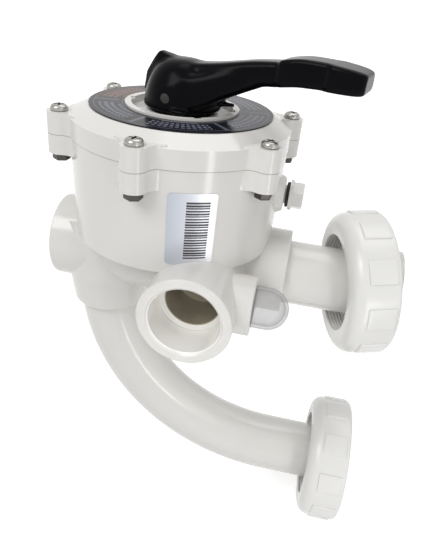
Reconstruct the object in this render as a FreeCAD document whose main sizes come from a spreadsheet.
"""Side-mount six-way multiport valve of a pool sand filter, with the two pipes and union nuts that join it to the tank.

Every piece is drawn about the rotor axis: z = 0 is the top of the position label, +X points at the filter and -Y is
the side of the waste port.  Each piece's Placement then moves it so that the origin is the centre of the upper
union's sealing face.  Lengths are millimetres and angles degrees.
"""
import FreeCAD, Part
import math
import os
import re
import PartDesign
import Sketcher
from FreeCAD import Placement, Rotation, Vector

SIZES = {
    # where the axes and faces lie
    "face_reach": 215.0,          # rotor axis to the sealing faces of both unions
    "port_drop": 142.0,           # label plane down to the axis of the side ports
    "outlet_pitch": 230.0,        # upper union axis down to the lower union axis
    # bowl and lid
    "bowl_radius": 95.0,          # outside, at the seam
    "bowl_base_radius": 91.6,     # outside, at the floor
    "bowl_bore": 86.0,
    "seam_drop": 25.0,            # label plane down to the joint of lid and bowl
    "floor_drop": 113.6,          # label plane down to the underside of the bowl
    "floor_wall": 7.0,
    "lid_radius": 95.5,
    "lid_rim_drop": 9.0,          # label plane down to the top of the lid's wall
    "shoulder_radius": 80.0,      # where the lid's slope starts
    "lid_wall": 7.0,
    "lid_haunch": 4.0,            # extra depth under the lid where its flat part meets the wall
    "lid_flat": 64.0,
    "spigot_depth": 6.0,          # how far the lid reaches into the bowl
    "spigot_wall": 5.0,
    "spigot_gap": 0.3,
    "ear_radius": 10.5,
    "ear_top_drop": 7.0,
    "ear_base_drop": 41.5,
    "ear_fillet": 13.0,           # hollow fillet between an ear and the wall
    "ear_root": 1.5,              # how far that fillet starts inside the wall
    "bolt_circle": 102.0,
    "bolt_start": 25.0,           # angle of the first bolt
    "bolt_count": 6.0,
    "bolt_radius": 4.0,
    "bolt_gap": 0.4,
    "bolt_head_radius": 7.25,
    "bolt_head_rise": 5.0,
    "bolt_tail": 6.4,             # shank below the ears
    "bolt_slot": 1.8,
    "bolt_slot_depth": 2.4,
    "bolt_slot_reach": 4.2,
    "nut_across": 13.0,
    "nut_height": 6.5,
    # seal between lid and bowl
    "lid_seal_radius": 90.6,
    "lid_seal_cord": 1.3,
    "seal_squeeze_gap": 0.1,
    # label and its ring
    "label_inner": 49.4,
    "label_outer": 78.7,
    "label_thickness": 1.0,
    "detent_ring_inner": 43.6,
    "detent_ring_rise": 1.6,
    "detent_width": 6.0,
    "detent_depth": 1.4,
    "detent_reach": 2.6,
    "deck_drop": 4.0,             # floor of the well that the handle sits in
    "tower_radius": 19.0,         # guide for the rotor stem under the lid
    "tower_depth": 34.0,
    "sticker_drop": 42.2,
    "sticker_height": 62.5,
    "sticker_angle": 24.0,
    "sticker_start": -81.0,
    "sticker_gap": 0.1,
    "sticker_thickness": 0.4,
    # ports and pipes
    "port_radius": 40.0,
    "port_lip": 1.6,
    "pump_reach": 112.8,
    "collar_reach": 112.2,
    "side_offset": 38.6,          # rotor axis to the axis of the waste and return ports
    "side_reach": 115.8,
    "socket_radius": 30.25,
    "socket_depth": 35.0,
    "socket_lip": 2.4,
    "gallery_radius": 24.0,
    "riser_radius": 15.0,
    "riser_circle": 54.0,
    "side_passage_end": 43.2,     # rotor axis to the blind end of the waste and return passages
    "side_riser_east": 35.6,
    "side_riser_aside": 46.4,
    "overcut": 2.0,               # how far a cut runs past the face that it opens
    "centre_riser": 13.0,
    "return_sweep": 12.5,         # radius of the passage from the elbow to the centre riser
    "return_drop": 23.5,          # that passage below the port axis
    "pump_lift": 8.5,             # pump passage above the port axis
    "pipe_radius": 30.15,
    "pipe_bore": 26.2,
    "pipe_seat": 84.0,            # rotor axis to the end of the upper pipe
    "flange_radius": 37.0,
    "flange_length": 8.0,
    "face_seal_radius": 32.6,
    "face_seal_cord": 1.5,
    "face_seal_depth": 2.6,
    "elbow_offset": 66.2,         # rotor axis to the elbow's vertical leg
    "elbow_collar": 35.8,         # at its mouth
    "trunk_radius": 41.0,         # the same collar where it meets the pump port and the bowl
    "trunk_drop": 168.0,
    "elbow_collar_drop": 204.0,
    "elbow_collar_lip": 3.5,
    "elbow_seat_drop": 176.0,
    "bend_radius": 188.0,
    "elbow_gap": 1.25,            # room in the collar for the start of the bend
    # sight glass
    "sight_offset": 71.6,
    "sight_radius": 26.0,
    "sight_reach": 90.2,
    "sight_bore": 13.0,
    "glass_radius": 18.2,
    "glass_wall": 2.6,
    "glass_seat": 10.0,
    "glass_stand": 12.0,
    "glass_gap": 0.3,
    "gasket_thickness": 2.0,
    # gauge plug
    "plug_drop": 64.3,
    "boss_reach": 98.6,
    "boss_radius": 14.8,
    "boss_base": 20.5,
    "boss_depth": 12.0,
    "plug_radius": 8.2,
    "plug_gap": 0.15,
    "plug_root": 87.5,
    "plug_seal_cord": 1.5,
    "plug_seal_radius": 9.8,
    "plug_flange_radius": 13.4,
    "plug_flange": 3.0,
    "plug_stand": 4.2,            # boss face to the plug's flange: it is screwed in by hand only
    "plug_across": 21.5,
    "plug_head": 9.5,
    # rotor
    "gasket_height": 3.0,
    "gasket_width": 4.0,
    "rotor_radius": 78.0,
    "rotor_thickness": 13.0,
    "rotor_gap": 0.2,
    "rotor_hub": 27.0,
    "rotor_hub_rise": 16.0,
    "rotor_hub_flare": 3.0,
    "rotor_rim": 6.0,
    "stem_radius": 12.0,
    "stem_gap": 0.3,
    "stem_rise": 22.0,
    "stem_groove": 2.2,
    "stem_seal_cord": 1.2,
    "stem_seal_drop": 16.0,
    "stem_seal_pitch": 9.0,
    "spring_radius": 24.5,
    "spring_wire": 2.6,
    "spring_turns": 5.0,
    "washer_thickness": 1.5,
    "washer_inner": 20.0,
    "washer_outer": 29.0,
    # handle
    "handle_angle": -14.0,
    "pin_rise": 11.0,
    "pin_radius": 4.0,
    "pin_gap": 0.05,
    "pin_half": 31.6,
    "hub_radius": 33.0,
    "hub_lift": 0.3,
    "hub_rise": 39.0,
    "pointer_width": 11.0,
    "pointer_length": 12.0,
    "pointer_height": 4.0,
    "pointer_side": 7.0,
    "pointer_stand": 2.0,
    "toe_radius": 28.5,
    "toe_gap": 0.1,
    "stem_room": 0.8,
    "stem_room_along": 4.5,
    "stem_room_above": 4.0,
    "pad_washer_inner": 12.6,
    "pad_washer_outer": 31.0,
    "pad_washer": 1.0,
    # union nuts
    "nut_radius": 66.0,
    "nut_length": 42.0,
    "nut_bore": 45.6,
    "nut_thread_depth": 1.6,
    "nut_thread_pitch": 3.0,
    "nut_thread_count": 5.0,
    "nut_crown": 12.0,
    "nut_web": 8.0,
    "nut_web_bore": 33.4,
    "nut_web_start": 17.0,
    "nut_chamfer": 3.0,
    "grip_count": 10.0,
    "grip_rise": 1.7,
    "grip_width": 20.5,
    "grip_start": 13.5,
    "grip_length": 24.5,
    "grip_root": 59.4,            # nut axis to the grips' inner faces, inside the wall
    "upper_nut_back": 57.5,       # sealing face back to the valve-side face of the upper nut
    "upper_nut_aside": 5.3,       # the cocked nut's valve end, towards the waste port
    "upper_nut_yaw": 14.5,
    "upper_nut_pitch": 5.0,
    "lower_nut_back": 44.5,
    "nut_hang": 0.3,              # running gap between a nut's web and the pipe it hangs on
    "upper_nut_turn": 17.5,       # turns the grips as the nuts hang
    "lower_nut_turn": -2.5,
}

# levels along the rotor axis that several pieces share
PORT_LEVEL = "(-port_drop)"
LOW_LEVEL = "(-port_drop - outlet_pitch)"
SEAM = "(-seam_drop)"
BOWL_FLOOR = "(floor_wall - floor_drop)"
GASKET_TOP = f"({BOWL_FLOOR} + gasket_height)"
ROTOR_BASE = f"({GASKET_TOP} + rotor_gap)"
ROTOR_TOP = f"({ROTOR_BASE} + rotor_thickness)"
HUB_TOP = f"({ROTOR_BASE} + rotor_hub_rise)"
DECK = "(-deck_drop)"
LID_UNDER = "(-deck_drop - lid_wall)"
UPPER_SEAT = f"({LID_UNDER} - washer_thickness)"
LOWER_SEAT = f"({HUB_TOP} + washer_thickness)"
TOE = f"({DECK} + pad_washer + toe_gap)"

doc = FreeCAD.newDocument("MultiportValve")
sheet = doc.addObject("Spreadsheet::Sheet", "Sizes")
for row, (word, number) in enumerate(SIZES.items(), start=1):
    sheet.set(f"A{row}", str(number))
    sheet.setAlias(f"A{row}", word)
doc.recompute()


def bound(formula):
    """Point every size named in a formula at its cell of the sheet."""
    return re.sub(r"[a-z][a-z_]+", lambda word: "Sizes." + word[0] if word[0] in SIZES else word[0], formula)


def value(formula):
    """The number that a formula gives with the sheet as it stands."""
    result = sheet.evalExpression(bound(formula))
    return float(getattr(result, "Value", result))


def new_piece(label, at=("0", "0", "0"), turn=None):
    """An empty body whose own origin lies at the point `at` of the valve's axes."""
    piece = doc.addObject("PartDesign::Body", label)
    piece.Label = label
    put(piece, at, turn)
    return piece


def put(piece, at=("0", "0", "0"), turn=None):
    """Place a piece: from the valve's axes to the frame whose origin is the upper sealing face."""
    east, north, up = (f"({term})" for term in at)
    piece.Placement = Placement(Vector(), turn or Rotation())
    piece.setExpression("Placement.Base.x", bound(f"{east} - face_reach"))
    piece.setExpression("Placement.Base.y", bound(north))
    piece.setExpression("Placement.Base.z", bound(f"{up} + port_drop"))


def origin_item(piece, role):
    return next(item for item in piece.Origin.OriginFeatures if item.Role == role)


def flat_sketch(piece, name, plane="XZ_Plane"):
    sketch = piece.newObject("Sketcher::SketchObject", name)
    sketch.AttachmentSupport = [(origin_item(piece, plane), "")]
    sketch.MapMode = "FlatFace"
    return sketch


def hold_point(sketch, curve, end, across, up=None):
    """Fix one end (or, with end 3, the centre) of a curve at a place given by formulas; None leaves one free."""
    for kind, formula in (("DistanceX", across), ("DistanceY", up)):
        if formula is None:
            continue
        index = sketch.addConstraint(Sketcher.Constraint(kind, -1, 1, curve, end, value(formula)))
        sketch.setExpression(f"Constraints[{index}]", bound(formula))


def arc_between(start, end, centre):
    """The shorter arc from start to end about a centre, and which of its own ends comes first."""
    first, last = start - centre, end - centre
    forward = first.x * last.y - first.y * last.x > 0
    low, high = (first, last) if forward else (last, first)
    circle = Part.Circle(centre, Vector(0, 0, 1), first.Length)
    low_angle, high_angle = math.atan2(low.y, low.x), math.atan2(high.y, high.x)
    if high_angle < low_angle:
        high_angle += 2 * math.pi
    return Part.ArcOfCircle(circle, low_angle, high_angle), (1, 2) if forward else (2, 1)


def outline(sketch, corners):
    """A closed outline.  A corner is a pair of formulas; a third item is the centre of the arc that leaves it."""
    places = [Vector(value(corner[0]), value(corner[1]), 0) for corner in corners]
    count = len(places)
    curves, ends = [], []
    for i, corner in enumerate(corners):
        start, end = places[i], places[(i + 1) % count]
        if len(corner) == 3:
            curve, order = arc_between(start, end, Vector(value(corner[2][0]), value(corner[2][1]), 0))
        else:
            curve, order = Part.LineSegment(start, end), (1, 2)
        curves.append(sketch.addGeometry(curve, False))
        ends.append(order)
    for i, corner in enumerate(corners):
        following = (i + 1) % count
        sketch.addConstraint(Sketcher.Constraint("Coincident", curves[i], ends[i][1],
                                                 curves[following], ends[following][0]))
        hold_point(sketch, curves[i], ends[i][0], corner[0], corner[1])
        if len(corner) == 3:
            chord = places[following] - places[i]
            across, up = corner[2]
            steep = abs(chord.y) > abs(chord.x)
            hold_point(sketch, curves[i], 3, across if steep else None, None if steep else up)


def turned(piece, name, corners, cut=False):
    """Revolve an outline of (radius, height) corners about the piece's own Z axis."""
    sketch = flat_sketch(piece, name + "Outline")
    outline(sketch, corners)
    feature = piece.newObject("PartDesign::Groove" if cut else "PartDesign::Revolution", name)
    feature.Profile = sketch
    feature.ReferenceAxis = (sketch, ["V_Axis"])
    feature.Angle = 360
    return feature


def slab(piece, name, corners, low, thickness):
    """A level plate: an outline in plan, raised from the height `low`."""
    sketch = flat_sketch(piece, name + "Outline", "XY_Plane")
    sketch.setExpression("AttachmentOffset.Base.z", bound(low))
    outline(sketch, corners)
    feature = piece.newObject("PartDesign::Pad", name)
    feature.Profile = sketch
    feature.setExpression("Length", bound(thickness))
    return feature


def swung(corner, angle):
    """A plan position given along and across a spoke, swung to the spoke's angle."""
    along, across = corner
    return (f"({along}) * cos({angle}) - ({across}) * sin({angle})",
            f"({along}) * sin({angle}) + ({across}) * cos({angle})")


def primitive(piece, kind, name, sizes, at=("0", "0", "0"), turn=None, cut=False):
    """A PartDesign cylinder, cone, box, prism or sphere, added to a piece or cut from it."""
    feature = piece.newObject(f"PartDesign::{'Subtractive' if cut else 'Additive'}{kind}", name)
    feature.MapMode = "Deactivated"
    feature.Placement = Placement(Vector(), turn or Rotation())
    for axis, formula in zip("xyz", at):
        feature.setExpression(f"Placement.Base.{axis}", bound(formula))
    for size, formula in sizes.items():
        feature.setExpression(size, bound(formula))
    return feature


def rod(piece, name, radius, length, at=("0", "0", "0"), along=Rotation(), cut=False):
    return primitive(piece, "Cylinder", name, {"Radius": radius, "Height": length}, at, along, cut)


def cone(piece, name, start, end, length, at, along=Rotation(), cut=False):
    return primitive(piece, "Cone", name, {"Radius1": start, "Radius2": end, "Height": length}, at, along, cut)


def around(piece, count, features=None):
    """Repeat features, or the whole piece, evenly about the rotor axis."""
    if features is None:
        doc.recompute()
    pattern = piece.newObject("PartDesign::PolarPattern", piece.Label + "Ring")
    if features is None:
        pattern.TransformMode = "Whole shape"
    else:
        pattern.Originals = features
    pattern.Axis = (origin_item(piece, "Z_Axis"), [""])
    pattern.Angle = 360
    pattern.setExpression("Occurrences", bound(count))
    piece.Tip = pattern
    return pattern


def softened(piece, name, radius, wanted, kind="Fillet"):
    """Round (or chamfer) the edges that `wanted` picks from the piece as it stands."""
    doc.recompute()
    base = piece.Tip
    edges = [f"Edge{i}" for i, edge in enumerate(base.Shape.Edges, start=1) if wanted(edge)]
    if not edges:
        raise ValueError(f"{piece.Label}: {name} found no edge")
    feature = piece.newObject(f"PartDesign::{kind}", name)
    feature.Base = (base, edges)
    feature.setExpression("Radius" if kind == "Fillet" else "Size", bound(radius))
    return feature


def circle_at(axis, place, radius):
    """Pick full circles of a radius whose centre lies at a place along one axis."""
    level, reach = value(place), value(radius)

    def wanted(edge):
        curve = edge.Curve
        round_edge = isinstance(curve, Part.Circle) and edge.isClosed()
        return round_edge and abs(getattr(curve.Center, axis) - level) < 1e-3 and abs(curve.Radius - reach) < 1e-3

    return wanted


EAST = Rotation(Vector(0, 1, 0), 90)
FRONT = Rotation(Vector(1, 0, 0), 90)
BACK = Rotation(Vector(1, 0, 0), -90)
BOLT_X = "bolt_circle * cos(bolt_start)"
BOLT_Y = "bolt_circle * sin(bolt_start)"


def bolt_ear(piece, low, high):
    """The round ears of lid or bowl, hollow-filleted into the wall, each with a clearance hole."""
    height = f"({high}) - ({low})"
    ear = rod(piece, "Ear", "ear_radius", height, (BOLT_X, BOLT_Y, low))
    wall = "(lid_radius - ear_root)"
    to_wall, to_ear = f"({wall} + ear_fillet)", "(ear_radius + ear_fillet)"
    along = f"((bolt_circle^2 + {to_wall}^2 - {to_ear}^2) / (2 * bolt_circle))"
    aside = f"sqrt({to_wall}^2 - {along}^2)"
    on_ear = (f"bolt_circle + ({along} - bolt_circle) * ear_radius / {to_ear}", f"{aside} * ear_radius / {to_ear}")
    on_wall = (f"{along} * {wall} / {to_wall}", f"{aside} * {wall} / {to_wall}")
    inside = f"{along} * {wall} / {to_wall} - 2 * ear_root"

    def swing(corner, side):
        return swung((corner[0], f"{side} * ({corner[1]})"), "bolt_start")

    web = slab(piece, "Web", [
        (*swing(on_ear, "1"), swing((along, aside), "1")), swing(on_wall, "1"), swing((inside, on_wall[1]), "1"),
        swing((inside, on_wall[1]), "-1"), (*swing(on_wall, "-1"), swing((along, aside), "-1")),
        swing(on_ear, "-1")], low, height)
    hole = rod(piece, "BoltHole", "bolt_radius + bolt_gap", height, (BOLT_X, BOLT_Y, low), cut=True)
    around(piece, "bolt_count", [ear, web, hole])


def valve_body():
    """Bowl, port manifold, collars and the sight-glass stub in one moulding, with its inner passages."""
    body = new_piece("valve_body")
    turned(body, "Bowl", [
        ("0", "-floor_drop"), ("bowl_base_radius", "-floor_drop"), ("bowl_radius", SEAM),
        ("bowl_bore", SEAM), ("bowl_bore", BOWL_FLOOR), ("0", BOWL_FLOOR)])
    bolt_ear(body, "-ear_base_drop", SEAM)
    rod(body, "PortCross", "port_radius", "pump_reach + collar_reach", ("-pump_reach", "0", PORT_LEVEL), EAST)
    rod(body, "SideCross", "port_radius", "2 * side_reach", ("side_offset", "side_reach", PORT_LEVEL), FRONT)
    rod(body, "Trunk", "trunk_radius", "trunk_drop - floor_drop", ("-elbow_offset", "0", "-trunk_drop"))
    cone(body, "ElbowCollar", "elbow_collar", "trunk_radius", "elbow_collar_drop - trunk_drop",
         ("-elbow_offset", "0", "-elbow_collar_drop"))
    rod(body, "SightStub", "sight_radius", "sight_reach - side_offset",
        ("side_offset", "-sight_offset", PORT_LEVEL), EAST)
    cone(body, "PlugBoss", "boss_base", "boss_radius", "boss_depth",
         ("boss_reach - boss_depth", "0", "-plug_drop"), EAST)
    rod(body, "BowlRoom", "bowl_bore", f"{SEAM} - {BOWL_FLOOR}", ("0", "0", BOWL_FLOOR), cut=True)
    # passages: one from each mouth to a riser under the rotor
    rod(body, "PumpPassage", "riser_radius", "pump_reach - riser_circle",
        ("-pump_reach", "0", f"{PORT_LEVEL} + pump_lift"), EAST, cut=True)
    rod(body, "TankPassage", "gallery_radius", "collar_reach - riser_circle", ("riser_circle", "0", PORT_LEVEL),
        EAST, cut=True)
    for name, side, turn in (("Waste", "-1", BACK), ("Return", "1", FRONT)):
        rod(body, name + "Passage", "gallery_radius", "side_reach - side_passage_end",
            ("side_offset", f"{side} * side_reach", PORT_LEVEL), turn, cut=True)
        rod(body, name + "Riser", "riser_radius", "port_drop - floor_drop + floor_wall",
            ("side_riser_east", f"{side} * side_riser_aside", PORT_LEVEL), cut=True)
    rod(body, "PumpRiser", "riser_radius", "port_drop - floor_drop + floor_wall - pump_lift",
        ("-riser_circle", "0", f"{PORT_LEVEL} + pump_lift"), cut=True)
    rod(body, "TankRiser", "riser_radius", "port_drop - floor_drop + floor_wall",
        ("riser_circle", "0", PORT_LEVEL), cut=True)
    rod(body, "CentreRiser", "centre_riser", "return_drop + port_drop - floor_drop + floor_wall",
        ("0", "0", f"{PORT_LEVEL} - return_drop"), cut=True)
    rod(body, "ElbowPassage", "return_sweep", "elbow_offset - return_sweep / 2",
        ("return_sweep / 2 - elbow_offset", "0", f"{PORT_LEVEL} - return_drop"), EAST, cut=True)
    rod(body, "ElbowRise", "riser_radius", "elbow_seat_drop - port_drop - return_drop + overcut",
        ("riser_radius / 2 - elbow_offset", "0", "-elbow_seat_drop - overcut"), cut=True)
    rod(body, "SightPassage", "sight_bore", "sight_reach - side_offset",
        ("side_offset", "-sight_offset", PORT_LEVEL), EAST, cut=True)
    # sockets for pipes, glass and plug
    mouths = (("Pump", ("-pump_reach", "0", PORT_LEVEL), EAST),
              ("Waste", ("side_offset", "-side_reach", PORT_LEVEL), BACK),
              ("Back", ("side_offset", "side_reach", PORT_LEVEL), FRONT))
    for name, mouth, inward in mouths:
        rod(body, name + "Socket", "socket_radius", "socket_depth", mouth, inward, cut=True)
        cone(body, name + "Lip", "socket_radius + socket_lip", "socket_radius", "socket_lip", mouth, inward, cut=True)
    rod(body, "TankSocket", "socket_radius", "collar_reach - pipe_seat", ("pipe_seat", "0", PORT_LEVEL), EAST,
        cut=True)
    rod(body, "ElbowSocket", "pipe_radius + elbow_gap", "elbow_collar_drop - elbow_seat_drop",
        ("-elbow_offset", "0", "-elbow_collar_drop"), cut=True)
    rod(body, "GlassSeat", "glass_radius + glass_gap", "glass_seat + gasket_thickness",
        ("sight_reach - glass_seat - gasket_thickness", "-sight_offset", PORT_LEVEL), EAST, cut=True)
    rod(body, "PlugHole", "plug_radius + plug_gap", "boss_depth + bowl_radius - bowl_bore",
        ("bowl_bore - 2 * overcut", "0", "-plug_drop"), EAST, cut=True)
    mouth_edges = [circle_at("x", "-pump_reach", "port_radius"), circle_at("x", "collar_reach", "port_radius"),
                   circle_at("y", "-side_reach", "port_radius"), circle_at("y", "side_reach", "port_radius"),
                   circle_at("x", "sight_reach", "sight_radius"), circle_at("x", "boss_reach", "boss_radius")]
    softened(body, "MouthRounds", "port_lip", lambda edge: any(pick(edge) for pick in mouth_edges))
    softened(body, "CollarLip", "elbow_collar_lip", circle_at("z", "-elbow_collar_drop", "elbow_collar"))


def lid():
    """Lid with the label seat, the notched ring, the handle's well and the guide for the rotor stem."""
    piece = new_piece("lid")
    turned(piece, "Dome", [
        ("stem_radius + stem_gap", DECK), ("detent_ring_inner", DECK), ("detent_ring_inner", "detent_ring_rise"),
        ("label_inner - spigot_gap", "detent_ring_rise"), ("label_inner - spigot_gap", "-label_thickness"),
        ("shoulder_radius", "-label_thickness"), ("lid_radius", "-lid_rim_drop"), ("lid_radius", SEAM),
        ("bowl_bore - spigot_gap", SEAM), ("bowl_bore - spigot_gap", f"{SEAM} - spigot_depth"),
        ("bowl_bore - spigot_gap - spigot_wall", f"{SEAM} - spigot_depth"),
        ("bowl_bore - spigot_gap - spigot_wall", f"{LID_UNDER} - lid_haunch"), ("lid_flat", LID_UNDER),
        ("tower_radius", LID_UNDER), ("tower_radius", "-tower_depth"), ("stem_radius + stem_gap", "-tower_depth")])
    bolt_ear(piece, SEAM, "-ear_top_drop")
    turned(piece, "SealGroove", [
        ("lid_seal_radius - lid_seal_cord - seal_squeeze_gap", SEAM),
        ("lid_seal_radius + lid_seal_cord + seal_squeeze_gap", SEAM),
        ("lid_seal_radius + lid_seal_cord + seal_squeeze_gap", f"{SEAM} + 2 * lid_seal_cord + seal_squeeze_gap"),
        ("lid_seal_radius - lid_seal_cord - seal_squeeze_gap", f"{SEAM} + 2 * lid_seal_cord + seal_squeeze_gap")],
        cut=True)
    notch = primitive(piece, "Box", "Notch",
                      {"Length": "2 * detent_reach", "Width": "detent_width", "Height": "2 * detent_depth"},
                      ("detent_ring_inner - detent_reach", "-detent_width / 2", "detent_ring_rise - detent_depth"),
                      cut=True)
    around(piece, "bolt_count", [notch])


def ring_seal(label, centre_radius, cord, at, turn=None):
    """A round-cord seal lying in a circle."""
    seal = doc.addObject("Part::Torus", label)
    seal.Label = label
    seal.setExpression("Radius1", bound(centre_radius))
    seal.setExpression("Radius2", bound(cord))
    put(seal, at, turn)
    return seal


def lid_fasteners():
    """Pan-head screws with a cross recess above the ears, and hexagon nuts under them."""
    screws = new_piece("lid_bolts")
    foot = "-ear_base_drop - bolt_tail"
    rod(screws, "Shank", "bolt_radius", "ear_base_drop - ear_top_drop + bolt_tail", (BOLT_X, BOLT_Y, foot))
    rod(screws, "Head", "bolt_head_radius", "bolt_head_rise", (BOLT_X, BOLT_Y, "-ear_top_drop"))
    softened(screws, "HeadRound", "bolt_head_rise * 0.6",
             circle_at("z", "bolt_head_rise - ear_top_drop", "bolt_head_radius"))
    for name, length, width in (("SlotAlong", "2 * bolt_slot_reach", "bolt_slot"),
                                ("SlotAcross", "bolt_slot", "2 * bolt_slot_reach")):
        primitive(screws, "Box", name, {"Length": length, "Width": width, "Height": "bolt_slot_depth"},
                  (f"{BOLT_X} - ({length}) / 2", f"{BOLT_Y} - ({width}) / 2",
                   "bolt_head_rise - ear_top_drop - bolt_slot_depth"), cut=True)
    around(screws, "bolt_count")

    nuts = new_piece("lid_nuts")
    hexagon = primitive(nuts, "Prism", "Hexagon", {"Circumradius": "nut_across / sqrt(3)", "Height": "nut_height"},
                        (BOLT_X, BOLT_Y, "-ear_base_drop - nut_height"))
    hexagon.Polygon = 6
    rod(nuts, "Thread", "bolt_radius", "nut_height", (BOLT_X, BOLT_Y, "-ear_base_drop - nut_height"), cut=True)
    around(nuts, "bolt_count")


def washer(label, inner, outer, low, high):
    """A flat ring about the rotor axis."""
    piece = new_piece(label)
    turned(piece, "Ring", [(inner, low), (outer, low), (outer, high), (inner, high)])
    return piece


def sticker():
    """Blank data plate wrapped on the front of the bowl."""
    piece = new_piece("data_sticker")
    slope = "((bowl_radius - bowl_base_radius) / (floor_drop - seam_drop))"
    top = f"bowl_radius - {slope} * (sticker_drop - seam_drop)"
    foot = f"bowl_radius - {slope} * (sticker_drop + sticker_height - seam_drop)"
    foot_level = "-sticker_drop - sticker_height"
    sheet_of_foil = turned(piece, "Foil", [
        (f"{foot} + sticker_gap", foot_level), (f"{foot} + sticker_thickness", foot_level),
        (f"{top} + sticker_thickness", "-sticker_drop"), (f"{top} + sticker_gap", "-sticker_drop")])
    sheet_of_foil.setExpression("Angle", bound("sticker_angle"))
    away = Rotation(Vector(0, 0, 1), -SIZES["sticker_start"])
    rod(piece, "PortClear", "port_radius + sticker_gap", "side_reach",
        ("side_offset * cos(sticker_start)", "-side_offset * sin(sticker_start)", PORT_LEVEL), away * FRONT, cut=True)
    piece.setExpression("Placement.Rotation.Angle", bound("sticker_start"))
    return piece


def sight_glass():
    """Clear domed cup over the sight passage, on its flat gasket."""
    glass = new_piece("sight_glass", ("sight_reach - glass_seat", "-sight_offset", PORT_LEVEL), EAST)
    rod(glass, "Skirt", "glass_radius", "glass_seat + glass_stand")
    crown = primitive(glass, "Sphere", "Crown", {"Radius": "glass_radius"}, ("0", "0", "glass_seat + glass_stand"))
    crown.Angle1 = 0
    rod(glass, "Hollow", "glass_radius - glass_wall", "glass_seat + glass_stand", cut=True)
    room = primitive(glass, "Sphere", "CrownHollow", {"Radius": "glass_radius - glass_wall"},
                     ("0", "0", "glass_seat + glass_stand"), cut=True)
    room.Angle1 = 0

    gasket = new_piece("sight_glass_gasket",
                       ("sight_reach - glass_seat - gasket_thickness", "-sight_offset", PORT_LEVEL), EAST)
    turned(gasket, "Ring", [("sight_bore + glass_gap", "0"), ("glass_radius", "0"),
                            ("glass_radius", "gasket_thickness"), ("sight_bore + glass_gap", "gasket_thickness")])


def gauge_plug():
    """Hexagon plug in the gauge boss, with its loose round-cord seal."""
    plug = new_piece("gauge_plug", ("plug_root", "0", "-plug_drop"), EAST)
    flange = "boss_reach + plug_stand - plug_root"
    rod(plug, "Shank", "plug_radius", flange)
    rod(plug, "Flange", "plug_flange_radius", "plug_flange", ("0", "0", flange))
    head = primitive(plug, "Prism", "Head", {"Circumradius": "plug_across / sqrt(3)", "Height": "plug_head"},
                     ("0", "0", f"{flange} + plug_flange"))
    head.Polygon = 6
    ring_seal("plug_o_ring", "plug_seal_radius", "plug_seal_cord",
              ("boss_reach + plug_stand - plug_seal_cord", "0", "-plug_drop"), EAST)


def tank_pipes():
    """Upper straight pipe and lower swept elbow, both flanged for the unions."""
    groove_outer = "face_seal_radius + face_seal_cord + seal_squeeze_gap"
    groove_inner = "face_seal_radius - face_seal_cord - seal_squeeze_gap"
    upper = new_piece("upper_pipe", ("pipe_seat", "0", PORT_LEVEL), EAST)
    length = "(face_reach - pipe_seat)"
    turned(upper, "Tube", [
        ("pipe_bore", "0"), ("pipe_radius", "0"), ("pipe_radius", f"{length} - flange_length"),
        ("flange_radius", f"{length} - flange_length"), ("flange_radius", length), (groove_outer, length),
        (groove_outer, f"{length} - face_seal_depth"), (groove_inner, f"{length} - face_seal_depth"),
        (groove_inner, length), ("pipe_bore", length)])

    lower = new_piece("lower_elbow")
    level = LOW_LEVEL
    seat = "-elbow_seat_drop"
    for name, radius, kind in (("Outside", "pipe_radius", "AdditivePipe"), ("Bore", "pipe_bore", "SubtractivePipe")):
        if name == "Bore":
            rod(lower, "Flange", "flange_radius", "flange_length", ("face_reach - flange_length", "0", level), EAST)
        path = flat_sketch(lower, name + "Path")
        bend_x, bend_z = "bend_radius - elbow_offset", f"{level} + bend_radius"
        top = Vector(value("-elbow_offset"), value(seat), 0)
        bend_top = Vector(value("-elbow_offset"), value(bend_z), 0)
        bend_end = Vector(value(bend_x), value(level), 0)
        centre = Vector(value(bend_x), value(bend_z), 0)
        arc = Part.ArcOfCircle(Part.Circle(centre, Vector(0, 0, 1), value("bend_radius")), math.pi, 1.5 * math.pi)
        end = Vector(value("face_reach"), value(level), 0)
        curves = path.addGeometry([Part.LineSegment(top, bend_top), arc, Part.LineSegment(bend_end, end)], False)
        path.addConstraint(Sketcher.Constraint("Coincident", curves[0], 2, curves[1], 1))
        path.addConstraint(Sketcher.Constraint("Coincident", curves[1], 2, curves[2], 1))
        hold_point(path, curves[0], 1, "-elbow_offset", seat)
        hold_point(path, curves[0], 2, "-elbow_offset", bend_z)
        hold_point(path, curves[1], 3, bend_x, bend_z)
        hold_point(path, curves[1], 2, bend_x)
        hold_point(path, curves[2], 2, "face_reach", level)
        section = lower.newObject("Sketcher::SketchObject", name + "Section")
        section.AttachmentSupport = [(origin_item(lower, "XY_Plane"), "")]
        section.MapMode = "FlatFace"
        section.setExpression("AttachmentOffset.Base.z", bound(seat))
        ring = section.addGeometry(Part.Circle(Vector(value("-elbow_offset"), 0, 0), Vector(0, 0, 1), value(radius)))
        hold_point(section, ring, 3, "-elbow_offset", "0")
        index = section.addConstraint(Sketcher.Constraint("Radius", ring, value(radius)))
        section.setExpression(f"Constraints[{index}]", bound(radius))
        pipe = lower.newObject(f"PartDesign::{kind}", name)
        pipe.Profile = section
        pipe.Spine = (path, [])
    # ring groove in the sealing face: a wide cut filled back to its inner wall by a smaller rod and its bore
    face_cut = ("face_reach - face_seal_depth", "0", level)
    rod(lower, "GrooveOuter", groove_outer, "face_seal_depth", face_cut, EAST, cut=True)
    rod(lower, "GrooveInner", groove_inner, "face_seal_depth", face_cut, EAST)
    rod(lower, "GrooveBore", "pipe_bore", "face_seal_depth", face_cut, EAST, cut=True)

    for label, seal_level in (("upper_union_o_ring", PORT_LEVEL), ("lower_union_o_ring", LOW_LEVEL)):
        ring_seal(label, "face_seal_radius", "face_seal_cord",
                  ("face_reach - face_seal_depth + face_seal_cord", "0", seal_level), EAST)


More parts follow.
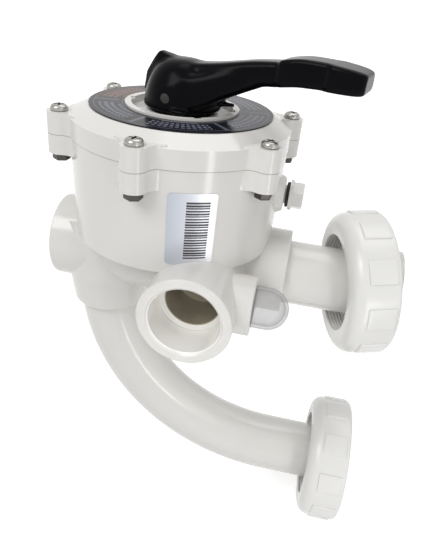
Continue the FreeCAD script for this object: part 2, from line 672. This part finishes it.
def spider_gasket():
    """Seat gasket on the bowl's floor: an outer ring, a ring round the centre port, and spokes between the ports."""
    gasket = new_piece("spider_gasket")
    outer = "(rotor_radius - gasket_width)"
    inner = "(centre_riser + stem_room)"
    turned(gasket, "OuterRing", [(outer, BOWL_FLOOR), ("rotor_radius", BOWL_FLOOR), ("rotor_radius", GASKET_TOP),
                                 (outer, GASKET_TOP)])
    half = "gasket_width / 2"
    start, end = f"{inner} + {half}", f"{outer} + {half}"
    spoke = slab(gasket, "Spoke", [swung(corner, "180 / bolt_count") for corner in (
        (start, f"-{half}"), (end, f"-{half}"), (end, half), (start, half))], BOWL_FLOOR, "gasket_height")
    around(gasket, "bolt_count", [spoke])
    turned(gasket, "InnerRing", [(inner, BOWL_FLOOR), (f"{inner} + gasket_width", BOWL_FLOOR),
                                 (f"{inner} + gasket_width", GASKET_TOP), (inner, GASKET_TOP)])


def rotor_group():
    """Rotor with its stem, stem seals, spring and spring washers, and the cross pin of the handle."""
    rotor = new_piece("rotor")
    turned(rotor, "Disc", [
        ("0", ROTOR_BASE), ("rotor_radius", ROTOR_BASE), ("rotor_radius", ROTOR_TOP),
        ("rotor_radius - rotor_rim", ROTOR_TOP), ("rotor_radius - rotor_rim", f"{ROTOR_BASE} + rotor_rim"),
        ("rotor_hub", f"{ROTOR_BASE} + rotor_rim"), ("rotor_hub + rotor_hub_flare", HUB_TOP), ("stem_radius", HUB_TOP),
        ("stem_radius", "stem_rise"), ("0", "stem_rise")])
    for number in range(2):
        middle = f"(-stem_seal_drop - {number} * stem_seal_pitch)"
        low = f"{middle} - stem_seal_cord - seal_squeeze_gap"
        high = f"{middle} + stem_seal_cord + seal_squeeze_gap"
        turned(rotor, f"SealGroove{number}", [
            ("stem_radius - stem_groove", low), ("stem_radius + overcut", low), ("stem_radius + overcut", high),
            ("stem_radius - stem_groove", high)], cut=True)
    window = primitive(rotor, "Prism", "Window", {"Circumradius": "riser_radius", "Height": "rotor_rim + rotor_rim"},
                       ("riser_circle", "0", f"{ROTOR_BASE} - rotor_rim / 2"), cut=True)
    window.Polygon = 6
    rod(rotor, "PinHole", "pin_radius", "4 * stem_radius",
        ("-2 * stem_radius * -sin(handle_angle)", "-2 * stem_radius * cos(handle_angle)", "pin_rise"),
        Rotation(Vector(0, 0, 1), SIZES["handle_angle"]) * BACK, cut=True)

    seals = new_piece("stem_o_rings")
    for number in range(2):
        primitive(seals, "Torus", f"Seal{number}", {
            "Radius1": "stem_radius - stem_groove + stem_seal_cord", "Radius2": "stem_seal_cord"},
            ("0", "0", f"-stem_seal_drop - {number} * stem_seal_pitch"))

    washer("upper_spring_washer", "washer_inner", "washer_outer", UPPER_SEAT, LID_UNDER)
    washer("lower_spring_washer", "washer_inner", "washer_outer", HUB_TOP, LOWER_SEAT)

    spring = doc.addObject("Part::Feature", "rotor_spring")
    spring.Label = "rotor_spring"
    low, high = value(LOWER_SEAT), value(UPPER_SEAT)
    wire, radius = value("spring_wire"), value("spring_radius")
    rise = high - low - 2 * wire - 2 * value("rotor_gap")
    coil = Part.makeHelix(rise / value("spring_turns"), rise, radius)
    section = Part.Wire(Part.makeCircle(wire, Vector(radius, 0, 0), Vector(0, 1, 0)))
    spring.Shape = Part.Wire(coil.Edges).makePipeShell([section], True, True)
    put(spring, ("0", "0", f"{LOWER_SEAT} + spring_wire + rotor_gap"))

    pin = new_piece("handle_pin", ("0", "0", "pin_rise"), Rotation(Vector(0, 0, 1), SIZES["handle_angle"]) * BACK)
    rod(pin, "Pin", "pin_radius - pin_gap", "2 * pin_half", ("0", "0", "-pin_half"))


def section_wire(station, half_foot, half_crown, low, high, rounding):
    """A section square to the lever: a trapezium on its foot with four rounded corners, as a closed wire."""
    corners = [Vector(station, across, up) for across, up in (
        (-half_foot, low), (half_foot, low), (half_crown, high), (-half_crown, high))]
    edges, starts, ends = [], [], []
    for i, corner in enumerate(corners):
        before = (corners[i - 1] - corner).normalize()
        after = (corners[(i + 1) % 4] - corner).normalize()
        half_turn = before.getAngle(after) / 2
        reach = rounding / math.tan(half_turn)
        middle = corner + (before + after).normalize() * (rounding / math.sin(half_turn) - rounding)
        starts.append(corner + before * reach)
        ends.append((middle, corner + after * reach))
    for i in range(4):
        middle, end = ends[i]
        edges.append(Part.Arc(starts[i], middle, end).toShape())
        edges.append(Part.LineSegment(end, starts[(i + 1) % 4]).toShape())
    return Part.Wire(edges)


def handle():
    """Lever handle: a domed hub over the rotor stem, a fin behind it, a keel in front and a grip with finger room."""
    hub_radius, base = value("hub_radius"), value("hub_lift")
    # (along the lever, half width at the foot, half width at the crown, underside, top, rounding)
    spine_stations = (
        (-35.0, 7.0, 3.0, 9.0, 24.0, 1.8), (-24.0, 14.0, 4.0, 9.0, 40.5, 2.2), (-18.0, 17.0, 5.0, 9.0, 41.0, 2.6),
        (-5.0, 19.5, 9.0, 9.0, 38.6, 3.2), (12.0, 19.5, 12.5, 12.0, 38.0, 3.6), (30.0, 17.5, 12.5, 20.0, 40.4, 3.8),
        (46.0, 15.5, 12.5, 25.0, 43.6, 4.0), (62.0, 14.5, 12.5, 27.5, 46.8, 4.2), (78.0, 14.5, 12.5, 30.0, 49.2, 4.4),
        (90.0, 17.0, 15.0, 32.0, 52.0, 4.6), (104.0, 18.5, 17.0, 34.5, 54.6, 4.8), (126.0, 19.0, 17.5, 35.5, 54.8, 4.8),
        (144.0, 19.0, 17.0, 35.5, 53.2, 4.8), (152.0, 17.6, 15.6, 36.4, 50.8, 4.6))
    keel_stations = (
        (-14.0, 29.5, 29.0, 2.0, 11.5, 3.0), (-6.0, 31.0, 30.6, 2.0, 17.5, 3.0), (4.0, 31.2, 28.6, 2.0, 24.5, 3.0),
        (15.0, 29.4, 22.6, 2.5, 29.0, 3.2), (28.0, 25.0, 18.6, 6.5, 33.0, 3.4), (42.0, 19.5, 15.3, 14.0, 37.0, 3.4),
        (56.0, 15.5, 13.2, 21.0, 40.5, 3.4), (72.0, 13.2, 12.0, 28.5, 45.0, 3.4))
    # (share of the dome's height, share of the hub's radius)
    dome = ((0.0, 1.0), (0.24, 0.99), (0.5, 0.92), (0.7, 0.79), (0.87, 0.54), (0.97, 0.25))
    rings = [Part.Wire(Part.makeCircle(hub_radius * share, Vector(0, 0, base + value("hub_rise") * level)))
             for level, share in dome]
    hub = Part.makeLoft(rings, True, False)
    spine = Part.makeLoft([section_wire(*station) for station in spine_stations], True, False)
    keel = Part.makeLoft([section_wire(*station) for station in keel_stations], True, False)
    toe = Part.makeCylinder(value("toe_radius"), base - value(TOE) + 1, Vector(0, 0, value(TOE)))
    pointer = Part.makeBox(value("pointer_width"), value("pointer_length"), value("pointer_height"),
                           Vector(value("pointer_side"), -hub_radius - value("pointer_stand"), base))
    stem = value("stem_radius")
    room_along = stem + value("stem_room_along")
    room_across = stem + value("stem_room")
    room_top = value("stem_rise") + value("stem_room_above")
    room = Part.makeBox(2 * room_along, 2 * room_across, room_top - value(TOE) + 1,
                        Vector(-room_along, -room_across, value(TOE) - 1))
    pin_hole = Part.makeCylinder(value("pin_radius"), 4 * hub_radius, Vector(0, -2 * hub_radius, value("pin_rise")),
                                 Vector(0, 1, 0))
    piece = doc.addObject("Part::Feature", "handle")
    piece.Label = "handle"
    piece.Shape = hub.fuse([spine, keel, toe, pointer]).cut([room, pin_hole]).removeSplitter()
    put(piece, turn=Rotation(Vector(0, 0, 1), value("handle_angle")))


def union_nut(label, at, turn):
    """Union nut: crowned valve-side end, grip pads, a web that bears on the pipe's flange, thread at both ends."""
    nut = new_piece(label, at, turn)
    web_end = "(nut_web_start + nut_web)"

    def thread(start):
        """Ring grooves cut into the bore from a height upwards."""
        corners = []
        for number in range(int(SIZES["nut_thread_count"])):
            low = f"({start} + ({number} + 0.3) * nut_thread_pitch)"
            corners += [("nut_bore", low), ("nut_bore + nut_thread_depth", f"{low} + nut_thread_pitch * 0.35"),
                        ("nut_bore", f"{low} + nut_thread_pitch * 0.7")]
        return corners

    bore = [("nut_bore", "0"), *thread("0"), ("nut_bore", "nut_web_start"), ("nut_web_bore", "nut_web_start"),
            ("nut_web_bore", web_end), ("nut_bore", web_end), *thread(web_end), ("nut_bore", "nut_length")]
    crown = "(nut_radius - nut_crown)"
    skin = [("nut_radius - nut_chamfer", "nut_length"), ("nut_radius", "nut_length - nut_chamfer"),
            ("nut_radius", "nut_crown", (crown, "nut_crown")), (crown, "0")]
    turned(nut, "Shell", bore + skin)
    pad = primitive(nut, "Box", "Grip", {
        "Length": "nut_radius + grip_rise - grip_root", "Width": "grip_width", "Height": "grip_length"},
        ("grip_root", "-grip_width / 2", "grip_start"))
    around(nut, "grip_count", [pad])


def union_nuts():
    """The upper nut hangs cocked on its pipe; the lower one sits square on the elbow."""
    sag = "(nut_web_bore - pipe_radius - nut_hang)"
    upper_turn, lower_turn = (Rotation(Vector(0, 0, 1), SIZES[f"{end}_nut_turn"]) for end in ("upper", "lower"))
    cocked = Rotation(Vector(0, 0, 1), SIZES["upper_nut_yaw"]) * Rotation(Vector(0, 1, 0), -SIZES["upper_nut_pitch"])
    union_nut("upper_union_nut", ("face_reach - upper_nut_back", "-upper_nut_aside", PORT_LEVEL),
              cocked * EAST * upper_turn)
    union_nut("lower_union_nut", ("face_reach - lower_nut_back", "0", f"{LOW_LEVEL} - {sag}"),
              EAST * lower_turn)


def check_and_write():
    """Recompute, refuse any failed object or unsound shape, and write one STEP file for each piece."""
    doc.recompute()
    failed = [f"{item.Name}: {item.getStatusString()}" for item in doc.Objects
              if {"Invalid", "Error"} & set(item.State)]
    if failed:
        raise RuntimeError("failed objects: " + ", ".join(failed))
    carriers = ("PartDesign::Body", "Part::Torus", "Part::Feature")
    pieces = [item for item in doc.Objects if item.TypeId in carriers]
    os.makedirs("parts", exist_ok=True)
    for piece in pieces:
        if piece.Shape.isNull() or not piece.Shape.isValid() or not piece.Shape.Solids:
            raise RuntimeError("unsound shape: " + piece.Label)
    for piece in pieces:
        piece.Shape.exportStep(f"parts/{piece.Label}.step")
        print(f"{piece.Label}: {len(piece.Shape.Solids)} solid(s), {piece.Shape.Volume / 1000:.1f} cm3")


valve_body()
lid()
ring_seal("lid_o_ring", "lid_seal_radius", "lid_seal_cord", ("0", "0", f"{SEAM} + lid_seal_cord"))
lid_fasteners()
washer("position_label", "label_inner", "label_outer", "-label_thickness", "0")
sticker()
sight_glass()
gauge_plug()
tank_pipes()
spider_gasket()
rotor_group()
washer("handle_washer", "pad_washer_inner", "pad_washer_outer", DECK, f"{DECK} + pad_washer")
handle()
union_nuts()
check_and_write()
